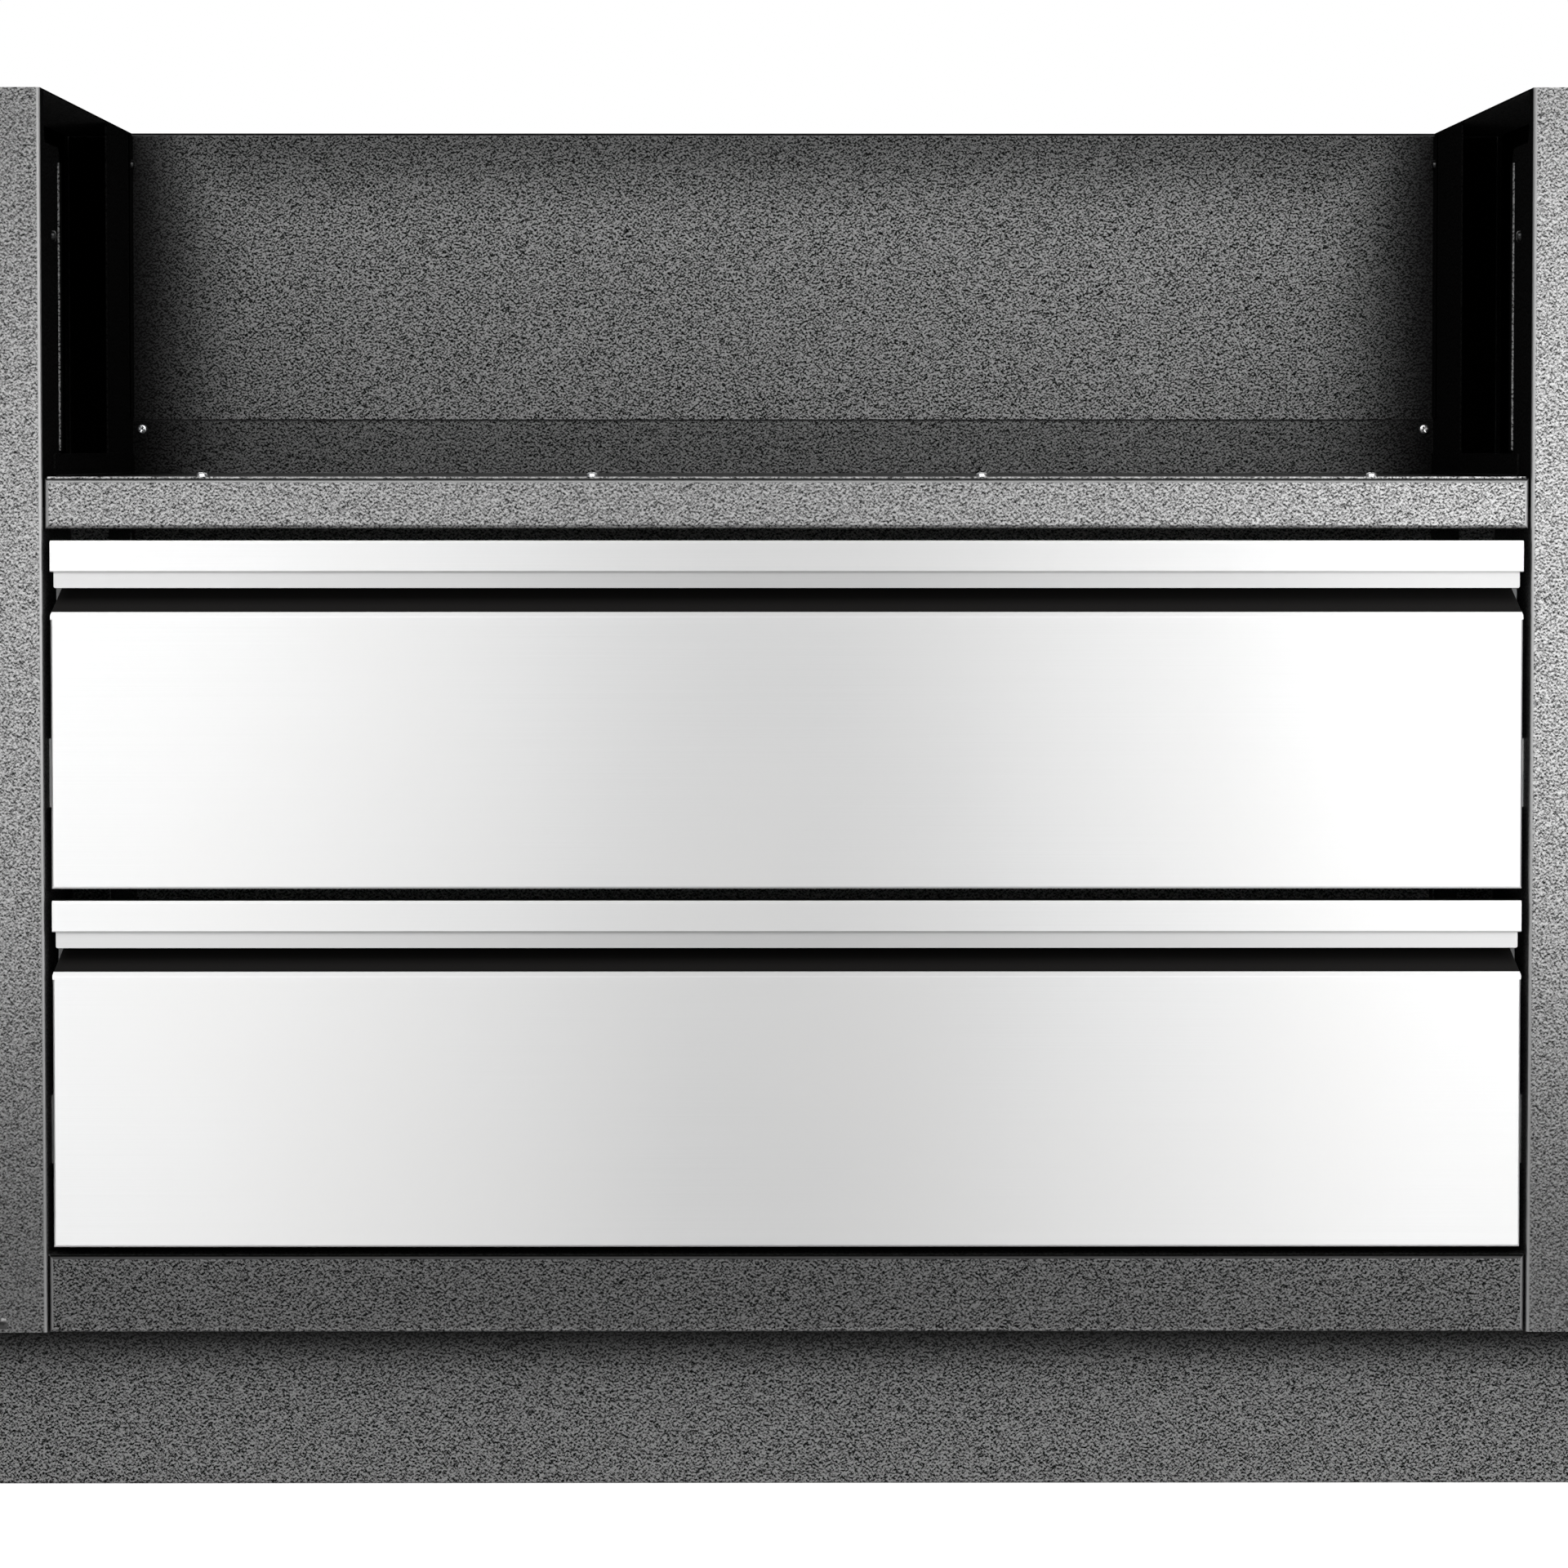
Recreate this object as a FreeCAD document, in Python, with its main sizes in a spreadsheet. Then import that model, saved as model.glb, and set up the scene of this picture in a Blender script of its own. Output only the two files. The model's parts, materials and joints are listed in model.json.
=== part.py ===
"""Under-grill cabinet: a folded sheet-steel carcass with a grill bay above two stainless drawers.

Millimetres. X runs across the front, the front faces -Y, +Z is up, and the origin is on the floor
under the middle of the cabinet.
"""

import FreeCAD, Part
import math
import os
import re
import Sketcher
from FreeCAD import Placement, Rotation, Vector

DIMENSIONS = {
    # Whole cabinet
    "overall_width": 1068,
    "overall_depth": 610,
    "overall_height": 918,
    "gauge": 1.2,
    "bend_radius": 2.4,
    "face_bend": 3.2,
    # Kick frame
    "kick_height": 108,
    "kick_recess": 50,
    "kick_flange": 30,
    "gusset_leg": 95,
    "gusset_gauge": 2.5,
    # Side panels
    "post_face": 51,
    "front_return": 110,
    "rear_return": 200,
    "notch_height": 33,
    "notch_keep": 22,
    "notch_radius": 10,
    "hem_width": 12,
    "hem_clear": 2,
    # Rails
    "rail_end_gap": 1.2,
    "rail_setback": 1,
    "header_bottom": 632.5,
    "header_flange": 45,
    "bottom_rail_height": 50.5,
    "bottom_rail_flange": 25,
    "ear_length": 18,
    # Deck, backs and floor
    "deck_level": 666.5,
    "deck_front_gap": 2,
    "deck_side_upturn": 15,
    "deck_rear_upturn": 40,
    "upturn_start": 64,
    "deck_relief": 3,
    "rim_round": 1.1,
    "back_setback": 25,
    "back_side_flange": 25,
    "back_foot": 644,
    "back_clear": 1.5,
    "tab_width": 10,
    "tab_height": 12.5,
    "tab_inset": 4,
    "tab_level": 713.5,
    "lower_back_top": 674,
    "lower_flange_end": 40,
    "floor_upturn": 20,
    "vent_width": 8,
    "vent_length": 60,
    "vent_pitch": 60,
    "vent_count": 6,
    "vent_level": 504,
    # Drawer fronts
    "front_gauge": 1.0,
    "front_bend": 2.0,
    "end_bend": 1.5,
    "drawer_gap": 4.5,
    "lower_drawer_level": 164,
    "upper_drawer_level": 398.5,
    "front_height": 226.5,
    "front_depth": 24,
    "panel_height": 177.2,
    "lip_height": 19.5,
    "band_height": 11.2,
    "joggle": 1.5,
    "band_inset": 2.3,
    "band_corner": 0.8,
    "scoop_trim": 8,
    "side_flange": 12,
    "side_flange_clear": 3,
    # Drawer boxes
    "box_length": 500,
    "box_wall": 150,
    "box_lift": 14,
    "box_lip": 9,
    "inner_front_low": 6,
    "inner_front_top": 224,
    "inner_front_flange": 13,
    "inner_front_inset": 1.5,
    # Telescopic slides
    "slide_space": 13,
    "slide_length": 490,
    "slide_start": 6,
    "slide_lift": 60,
    "slide_half": 22.5,
    "slide_cover": 9.5,
    "slide_lip": 2.3,
    "race_gap": 4.3,
    "middle_offset": 4.4,
    "middle_reach": 11.2,
    "inner_tip": 7.2,
    "cage_gauge": 0.8,
    "cage_length": 220,
    "cage_start": 134,
    "outer_cage_offset": 2.2,
    "outer_cage_reach": 7.9,
    "inner_cage_offset": 6.0,
    "inner_cage_reach": 11.4,
}

# Formulas that several sub-parts share
SIDE_HEIGHT = "(overall_height - kick_height)"
HALF_OPENING = "(overall_width / 2 - post_face)"
FRONT = "-overall_depth / 2"
BACK_FACE = "(overall_depth - back_setback - gauge)"
DECK_DEPTH = "(overall_depth - back_setback - gauge - deck_front_gap)"
RAIL_HALF = "(overall_width / 2 - post_face - rail_end_gap)"
HEADER_HEIGHT = "(deck_level - gauge - header_bottom)"
FRONT_HALF = "(overall_width / 2 - post_face - drawer_gap)"
BOX_HALF = "(overall_width / 2 - post_face - slide_space)"
BOX_START = "(front_depth + gauge)"
MIDDLE_HALF = "(slide_half - gauge - race_gap)"
INNER_HALF = "(slide_half - 2 * gauge - 2 * race_gap)"
BEND_INSIDE = "bend_radius - gauge"

# Offset of a 45 degree fold's far face, as a share of the sheet's thickness
FOLD = "0.4142"

UPRIGHT = Rotation()

SAME = 1e-6
NEAR = 1e-3

DOC = FreeCAD.newDocument("under_grill_cabinet")
SHEET = DOC.addObject("Spreadsheet::Sheet", "Dims")
for row, (alias, value) in enumerate(DIMENSIONS.items(), start=1):
    SHEET.set(f"A{row}", alias)
    SHEET.set(f"B{row}", str(value))
    SHEET.setAlias(f"B{row}", alias)
DOC.recompute()

NODES = []


def cells(text):
    """A formula in plain dimension names, as an expression over the sheet's cells."""
    return re.sub(r"[a-z_]+", lambda word: "Dims." + word[0], text)


def size(text):
    """The present value of a formula."""
    return float(SHEET.evalExpression(cells(text)))


def keep(node):
    """Counts a finished sub-part among those that are written out."""
    NODES.append(node)
    return node


def new_body(label, at=("0", "0", "0"), turn=UPRIGHT):
    """An empty body whose place follows the sheet."""
    body = DOC.addObject("PartDesign::Body", label)
    body.Label = label
    body.Placement = Placement(Vector(), turn)
    for axis, text in zip("xyz", at):
        body.setExpression(f"Placement.Base.{axis}", cells(text))
    return body


def new_sketch(body, plane, rise="0"):
    """A sketch on one of the body's own origin planes, raised along the plane's normal."""
    sketch = body.newObject("Sketcher::SketchObject", body.Label + "_sketch")
    support = next(item for item in body.Origin.OriginFeatures if item.Role == plane)
    sketch.AttachmentSupport = [(support, "")]
    sketch.MapMode = "FlatFace"
    sketch.setExpression("AttachmentOffset.Base.z", cells(rise))
    return sketch


def pin(sketch, geometry, point, place):
    """Ties one point of a sketch to the sheet, measured from the sketch's origin."""
    for kind, axis, text in (("DistanceX", -2, place[0]), ("DistanceY", -1, place[1])):
        value = size(text)
        if abs(value) < SAME:
            sketch.addConstraint(Sketcher.Constraint("PointOnObject", geometry, point, axis))
            continue
        index = sketch.addConstraint(Sketcher.Constraint(kind, -1, 1, geometry, point, value))
        sketch.setExpression(f"Constraints[{index}]", cells(text))


def outline(body, plane, points, rise="0"):
    """A closed outline of straight runs; each corner is a pair of formulas."""
    sketch = new_sketch(body, plane, rise)
    corners = [Vector(size(across), size(up), 0) for across, up in points]
    count = len(corners)
    for index in range(count):
        sketch.addGeometry(Part.LineSegment(corners[index], corners[(index + 1) % count]))
    for index in range(count):
        sketch.addConstraint(Sketcher.Constraint("Coincident", index, 2, (index + 1) % count, 1))
    for index, place in enumerate(points):
        pin(sketch, index, 1, place)
    return sketch


def rectangle(left, low, right, high):
    """The four corners of an upright rectangle."""
    return [(left, low), (right, low), (right, high), (left, high)]


def bind_radius(sketch, geometry, radius):
    """Ties a circle's or an arc's radius to the sheet."""
    index = sketch.addConstraint(Sketcher.Constraint("Radius", geometry, size(radius)))
    sketch.setExpression(f"Constraints[{index}]", cells(radius))


def slot(body, plane, across, low, high, width, rise="0"):
    """An upright slot with round ends: two arcs joined by tangent lines."""
    sketch = new_sketch(body, plane, rise)
    radius = size(width) / 2
    x = size(across)
    bottom = size(low) + radius
    top = size(high) - radius
    normal = Vector(0, 0, 1)
    sketch.addGeometry(Part.ArcOfCircle(Part.Circle(Vector(x, top, 0), normal, radius), 0, math.pi))
    sketch.addGeometry(Part.LineSegment(Vector(x - radius, top, 0), Vector(x - radius, bottom, 0)))
    lower = Part.Circle(Vector(x, bottom, 0), normal, radius)
    sketch.addGeometry(Part.ArcOfCircle(lower, math.pi, 2 * math.pi))
    sketch.addGeometry(Part.LineSegment(Vector(x + radius, bottom, 0), Vector(x + radius, top, 0)))
    for index in range(4):
        sketch.addConstraint(Sketcher.Constraint("Tangent", index, 2, (index + 1) % 4, 1))
    bind_radius(sketch, 0, f"{width} / 2")
    pin(sketch, 0, 3, (across, f"{high} - {width} / 2"))
    pin(sketch, 2, 3, (across, f"{low} + {width} / 2"))
    return sketch


def rounded_edge(body, sign, reach, radius):
    """What comes off a sheet's upright edge on one side so that the edge is left round."""
    sketch = new_sketch(body, "XY_Plane")
    inner = f"{sign}({reach} - {radius})"
    edge = f"{sign}{reach}"
    outer = f"{sign}({reach} + 1)"
    places = [(edge, radius), (outer, radius), (outer, "-1"), (inner, "-1"), (inner, "0")]
    spots = [Vector(size(across), size(up), 0) for across, up in places]
    for start, end in zip(spots, spots[1:]):
        sketch.addGeometry(Part.LineSegment(start, end))
    middle = Vector(size(inner), size(radius), 0)
    towards = math.copysign(size(radius) * math.sqrt(0.5), size(inner))
    halfway = middle + Vector(towards, -size(radius) * math.sqrt(0.5), 0)
    sketch.addGeometry(Part.Arc(spots[-1], halfway, spots[0]))
    for index in range(len(spots) - 2):
        sketch.addConstraint(Sketcher.Constraint("Coincident", index, 2, index + 1, 1))
    for index, place in enumerate(places[:-1]):
        pin(sketch, index, 1, place)
    pin(sketch, len(places) - 2, 2, places[-1])
    arc = len(places) - 1
    first, last = (1, 2) if sign == "" else (2, 1)
    sketch.addConstraint(Sketcher.Constraint("Coincident", arc, first, arc - 1, 2))
    sketch.addConstraint(Sketcher.Constraint("Coincident", arc, last, 0, 1))
    bind_radius(sketch, arc, radius)
    return sketch


def shape_with(body, kind, sketch, length, reverse, centred):
    """Adds a pad or a pocket whose length follows the sheet."""
    feature = body.newObject("PartDesign::" + kind, f"{body.Label}_{kind.lower()}")
    feature.Profile = sketch
    feature.Reversed = reverse
    feature.SideType = "Symmetric" if centred else "One side"
    feature.setExpression("Length", cells(length))
    DOC.recompute()
    return feature


def pad(body, sketch, length, reverse=False, centred=False):
    """Extrudes a sketch into the body."""
    return shape_with(body, "Pad", sketch, length, reverse, centred)


def pocket(body, sketch, length, reverse=False):
    """Cuts a sketch out of the body and makes sure that something was cut."""
    before = body.Shape.Volume
    feature = shape_with(body, "Pocket", sketch, length, reverse, centred=False)
    if body.Shape.Volume > before - SAME:
        raise RuntimeError(f"{body.Label}: a pocket cuts nothing")
    return feature


def fillet(body, radius, chosen):
    """Rounds the edges of the body's present shape that a test picks by their bounding box."""
    base = body.Tip
    edges = enumerate(base.Shape.Edges, start=1)
    names = [f"Edge{index}" for index, edge in edges if chosen(edge.BoundBox)]
    if not names:
        raise RuntimeError(f"{body.Label}: no edge to round")
    feature = body.newObject("PartDesign::Fillet", body.Label + "_fillet")
    feature.Base = (base, names)
    feature.setExpression("Radius", cells(radius))
    DOC.recompute()
    return feature


def along(axis, *places):
    """A test for edges that run along one axis through any of the given pairs of formulas."""
    first, second = [letter for letter in "XYZ" if letter != axis]
    spots = [(size(a), size(b)) for a, b in places]

    def chosen(box):
        if getattr(box, first + "Length") > NEAR or getattr(box, second + "Length") > NEAR:
            return False
        here = (getattr(box, first + "Min"), getattr(box, second + "Min"))
        return any(abs(here[0] - a) < NEAR and abs(here[1] - b) < NEAR for a, b in spots)

    return chosen


def mirrored(source, label):
    """The right-hand twin of a left-hand sub-part."""
    twin = DOC.addObject("Part::Mirroring", label)
    twin.Label = label
    twin.Source = source
    twin.Normal = Vector(1, 0, 0)
    twin.Base = Vector(0, 0, 0)
    DOC.recompute()
    return twin


def group(label, members):
    """Identical pieces that share one node as separate solids."""
    node = DOC.addObject("Part::Compound", label)
    node.Label = label
    node.Links = members
    DOC.recompute()
    return keep(node)


def side_panels():
    """Left and right side: web, post face, returns and flanges in one folded sheet."""
    body = new_body("left_side_panel", ("-overall_width / 2", FRONT, "kick_height"))
    inside = "post_face - gauge"
    rear = "overall_depth"
    rear_inside = "overall_depth - gauge"
    return_edge = "overall_depth - rear_return"
    plan = [
        ("post_face", "front_return"),
        ("post_face", "0"),
        ("0", "0"),
        ("0", rear),
        ("post_face", rear),
        ("post_face", return_edge),
        (inside, return_edge),
        (inside, rear_inside),
        ("gauge", rear_inside),
        ("gauge", "gauge"),
        (inside, "gauge"),
        (inside, "front_return"),
    ]
    pad(body, outline(body, "XY_Plane", plan), SIDE_HEIGHT)
    fillet(body, "face_bend", along("Z", plan[1], plan[2], plan[3], plan[4]))
    fillet(body, "face_bend - gauge", along("Z", plan[7], plan[8], plan[9], plan[10]))
    flange = rectangle("gauge", "face_bend", "post_face", "overall_depth - face_bend")
    for rise in ("0", f"{SIDE_HEIGHT} - gauge"):
        pad(body, outline(body, "XY_Plane", flange, rise), "gauge")

    # The front return stops short of the top flange, behind a rounded notch
    notch_foot = f"({SIDE_HEIGHT} - gauge - notch_height)"
    notch = rectangle("notch_keep", notch_foot, "front_return + gauge", f"{SIDE_HEIGHT} - gauge")
    pocket(body, outline(body, "YZ_Plane", notch, "post_face + gauge"), "3 * gauge")
    fillet(body, "notch_radius", along("X", ("notch_keep", notch_foot), ("front_return", notch_foot)))

    # In the grill bay the return's edge is folded back on itself
    hem_foot = "(deck_level + deck_side_upturn + hem_clear - kick_height)"
    hem = rectangle("post_face", "front_return - hem_width", "post_face + gauge", "front_return")
    hem_length = f"{notch_foot} - notch_radius - {hem_foot}"
    pad(body, outline(body, "XY_Plane", hem, hem_foot), hem_length)

    keep(body)
    keep(mirrored(body, "right_side_panel"))


def rail(label, height, flange, level):
    """A folded pan: face with bent edges, open at the rear, and an ear at each end of its top flange."""
    body = new_body(label, ("0", f"{FRONT} + rail_setback", level))
    face = rectangle(f"-{RAIL_HALF}", "0", RAIL_HALF, height)
    pad(body, outline(body, "XZ_Plane", face), flange, reverse=True)
    fillet(body, "face_bend", lambda box: box.YMax < NEAR)
    block = body.Tip
    depth = size(flange)
    faces = enumerate(block.Shape.Faces, start=1)
    behind = [f"Face{index}" for index, face in faces if face.BoundBox.YMin > depth - NEAR]
    shell = body.newObject("PartDesign::Thickness", label + "_shell")
    shell.Base = (block, behind)
    shell.Reversed = True
    shell.setExpression("Value", cells("gauge"))
    DOC.recompute()
    for sign in ("", "-"):
        inner = f"{sign}({RAIL_HALF} - gauge)"
        ear = rectangle(inner, f"{flange} - ear_length", sign + HALF_OPENING, flange)
        pad(body, outline(body, "XY_Plane", ear, f"{height} - gauge"), "gauge")
    return keep(body)


def rails():
    """Header rail over the drawers and bottom rail under them."""
    rail("header_rail", HEADER_HEIGHT, "header_flange", "header_bottom")
    rail("bottom_rail", "bottom_rail_height", "bottom_rail_flange", "kick_height")


def grill_deck():
    """Deck of the grill bay: one sheet with low side upturns and a higher rear upturn."""
    body = new_body("grill_deck", ("0", f"{FRONT} + deck_front_gap", "deck_level - gauge"))
    inside = f"{HALF_OPENING} - gauge"
    rim = "deck_side_upturn + gauge"
    section = [
        (f"-{HALF_OPENING}", "0"),
        (HALF_OPENING, "0"),
        (HALF_OPENING, rim),
        (inside, rim),
        (inside, "gauge"),
        (f"-({inside})", "gauge"),
        (f"-({inside})", rim),
        (f"-{HALF_OPENING}", rim),
    ]
    pad(body, outline(body, "XZ_Plane", section), DECK_DEPTH, reverse=True)
    fillet(body, "bend_radius", along("Y", section[0], section[1]))
    fillet(body, BEND_INSIDE, along("Y", section[4], section[5]))
    upturn = rectangle(f"-({inside})", "gauge", inside, "deck_rear_upturn + gauge")
    upturn_face = f"-({DECK_DEPTH} - gauge)"
    pad(body, outline(body, "XZ_Plane", upturn, upturn_face), "gauge", reverse=True)
    fillet(body, "rim_round", along("X", (f"{DECK_DEPTH} - gauge", "deck_rear_upturn + gauge")))

    # The front corners are relieved where the side upturns start, behind the posts
    for sign in ("", "-"):
        edge = f"{sign}({HALF_OPENING} - deck_relief)"
        corner = rectangle(edge, "-1", f"{sign}({HALF_OPENING} + 1)", "upturn_start")
        pocket(body, outline(body, "XY_Plane", corner, "-1"), "deck_side_upturn + 3", reverse=True)
    return keep(body)


def flanged_back(label, face, foot, flange_foot, flange_top, top):
    """A back sheet with forward side flanges over part of its height."""
    body = new_body(label, ("0", f"{FRONT} + {face}", "0"))
    sheet = rectangle(f"-{HALF_OPENING}", foot, HALF_OPENING, top)
    pad(body, outline(body, "XZ_Plane", sheet), "gauge", reverse=True)
    for sign in ("", "-"):
        side = rectangle(f"{sign}({HALF_OPENING} - gauge)", flange_foot, sign + HALF_OPENING, flange_top)
        pad(body, outline(body, "XZ_Plane", side), "back_side_flange")
    return body


def backs():
    """Upper back behind the grill bay and vented lower back behind the drawers."""
    flange_foot = "deck_level + deck_rear_upturn + back_clear"
    flange_top = "overall_height - bend_radius"
    top = "overall_height"
    upper = flanged_back("upper_back_panel", BACK_FACE, "back_foot", flange_foot, flange_top, top)
    cap = rectangle(f"-{HALF_OPENING}", "gauge", HALF_OPENING, "back_setback")
    pad(upper, outline(upper, "XY_Plane", cap, "overall_height - gauge"), "gauge")
    fillet(upper, "bend_radius", along("X", ("0", top)))
    fillet(upper, BEND_INSIDE, along("X", ("gauge", f"{top} - gauge")))
    tab_left = f"-{HALF_OPENING} + tab_inset"
    tab = rectangle(tab_left, "tab_level", f"{tab_left} + tab_width", "tab_level + tab_height")
    pad(upper, outline(upper, "XZ_Plane", tab), "gauge")
    keep(upper)

    lower_face = f"({BACK_FACE} + gauge)"
    flange_low = "kick_height + lower_flange_end"
    flange_high = "lower_back_top - lower_flange_end"
    top = "lower_back_top"
    lower = flanged_back("lower_back_panel", lower_face, "kick_height", flange_low, flange_high, top)
    first = "-vent_pitch * (vent_count - 1) / 2"
    vent = slot(lower, "XZ_Plane", first, "vent_level", "vent_level + vent_length", "vent_width", "gauge")
    cut = pocket(lower, vent, "3 * gauge")
    row = lower.newObject("PartDesign::LinearPattern", "vent_row")
    row.Originals = [cut]
    across = next(item for item in lower.Origin.OriginFeatures if item.Role == "X_Axis")
    row.Direction = (across, [""])
    row.setExpression("Length", cells("vent_pitch * (vent_count - 1)"))
    row.setExpression("Occurrences", cells("vent_count"))
    lower.Tip = row
    DOC.recompute()
    keep(lower)


def floor_panel():
    """Cabinet floor behind the bottom rail, turned up against the lower back."""
    start = "rail_setback + bottom_rail_flange"
    run = f"({BACK_FACE} + gauge - rail_setback - bottom_rail_flange)"
    body = new_body("floor_panel", ("0", f"{FRONT} + {start}", "kick_height"))
    section = [
        ("0", "0"),
        (run, "0"),
        (run, "floor_upturn"),
        (f"{run} - gauge", "floor_upturn"),
        (f"{run} - gauge", "gauge"),
        ("0", "gauge"),
    ]
    pad(body, outline(body, "YZ_Plane", section), f"2 * {HALF_OPENING}", centred=True)
    fillet(body, "bend_radius", along("X", section[1]))
    fillet(body, BEND_INSIDE, along("X", section[4]))
    return keep(body)


def channel(width, height):
    """Section of a channel with equal flanges, its web on the first axis' zero."""
    return [
        ("0", "0"),
        (width, "0"),
        (width, "gauge"),
        ("gauge", "gauge"),
        ("gauge", f"{height} - gauge"),
        (width, f"{height} - gauge"),
        (width, height),
        ("0", height),
    ]


def kick_frame():
    """Set-back plinth: four folded channels and a gusset in each corner."""
    section = channel("kick_flange", "kick_height")
    run = "overall_width - 2 * gauge"
    ends = (
        ("front_kick_panel", f"{FRONT} + kick_recess", UPRIGHT),
        ("rear_kick_panel", "overall_depth / 2", Rotation(Vector(0, 0, 1), 180)),
    )
    for label, face, turn in ends:
        body = new_body(label, ("0", face, "0"), turn)
        pad(body, outline(body, "YZ_Plane", section), run, centred=True)
        fillet(body, "bend_radius", along("X", section[0], section[7]))
        fillet(body, BEND_INSIDE, along("X", section[3], section[4]))
        keep(body)

    side = new_body("left_kick_panel", ("-overall_width / 2", f"{FRONT} + kick_recess", "0"))
    frame_depth = "(overall_depth - kick_recess)"
    middle = outline(side, "XZ_Plane", section, "-kick_flange")
    pad(side, middle, f"{frame_depth} - 2 * kick_flange", reverse=True)
    web = rectangle("0", "0", "gauge", "kick_height")
    pad(side, outline(side, "XZ_Plane", web), frame_depth, reverse=True)
    keep(side)
    keep(mirrored(side, "right_kick_panel"))

    left = "-overall_width / 2 + gauge"
    right = "overall_width / 2 - gauge"
    front = f"{FRONT} + kick_recess + bend_radius"
    rear = "overall_depth / 2 - bend_radius"
    level = "kick_height - gauge - gusset_gauge"
    gussets = []
    for turns, (x, y) in enumerate(((left, front), (right, front), (right, rear), (left, rear))):
        gusset = new_body(f"gusset_{turns}", (x, y, level), Rotation(Vector(0, 0, 1), 90 * turns))
        corner = [("0", "0"), ("gusset_leg", "0"), ("0", "gusset_leg")]
        pad(gusset, outline(gusset, "XY_Plane", corner), "gusset_gauge")
        gussets.append(gusset)
    group("kick_gussets", gussets)


def below(half):
    """The lower half of a section that is the same above and below its first axis."""
    return [(across, f"-({up})") for across, up in reversed(half)]


def slides(drawer, level):
    """A pair of telescopic slides: cabinet, middle and drawer member, nested with room for the balls."""
    lip_edge = "(slide_half - gauge - slide_lip)"
    cabinet_half = [
        ("0", "slide_half"),
        ("slide_cover", "slide_half"),
        ("slide_cover", lip_edge),
        ("slide_cover - gauge", lip_edge),
        ("slide_cover - gauge", "slide_half - gauge"),
        ("gauge", "slide_half - gauge"),
    ]
    middle_half = [
        ("middle_offset", MIDDLE_HALF),
        ("middle_reach", MIDDLE_HALF),
        ("middle_reach", f"{MIDDLE_HALF} - gauge"),
        ("middle_offset + gauge", f"{MIDDLE_HALF} - gauge"),
    ]
    drawer_half = [
        ("slide_space", INNER_HALF),
        ("inner_tip", INNER_HALF),
        ("inner_tip", f"{INNER_HALF} - gauge"),
        ("slide_space - gauge", f"{INNER_HALF} - gauge"),
    ]
    start = f"{FRONT} + {BOX_START} + slide_start"
    middle_height = f"{level} + box_lift + slide_lift"
    at = (f"-{HALF_OPENING}", start, middle_height)
    members = (("cabinet", cabinet_half), ("middle", middle_half), ("drawer", drawer_half))
    for member, half in members:
        body = new_body(f"{drawer}_left_slide_{member}_member", at)
        pad(body, outline(body, "XZ_Plane", half + below(half)), "slide_length", reverse=True)
        keep(body)
        keep(mirrored(body, f"{drawer}_right_slide_{member}_member"))

    # Ball cages: thin channels that ride in the races between the members
    outer_race = "(slide_half - gauge - race_gap / 2 + cage_gauge / 2)"
    inner_race = f"({MIDDLE_HALF} - gauge - race_gap / 2 + cage_gauge / 2)"
    cage_at = (f"-{HALF_OPENING}", f"{start} + cage_start", middle_height)
    for race, edge in (("outer", outer_race), ("inner", inner_race)):
        reach = f"{race}_cage_reach"
        web = f"{race}_cage_offset"
        half = [
            (web, edge),
            (reach, edge),
            (reach, f"{edge} - cage_gauge"),
            (f"{web} + cage_gauge", f"{edge} - cage_gauge"),
        ]
        cage = new_body(f"{drawer}_left_{race}_cage", cage_at)
        pad(cage, outline(cage, "XZ_Plane", half + below(half)), "cage_length", reverse=True)
        twin = mirrored(cage, f"{drawer}_right_{race}_cage")
        group(f"{drawer}_slide_{race}_ball_cages", [cage, twin])


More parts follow.
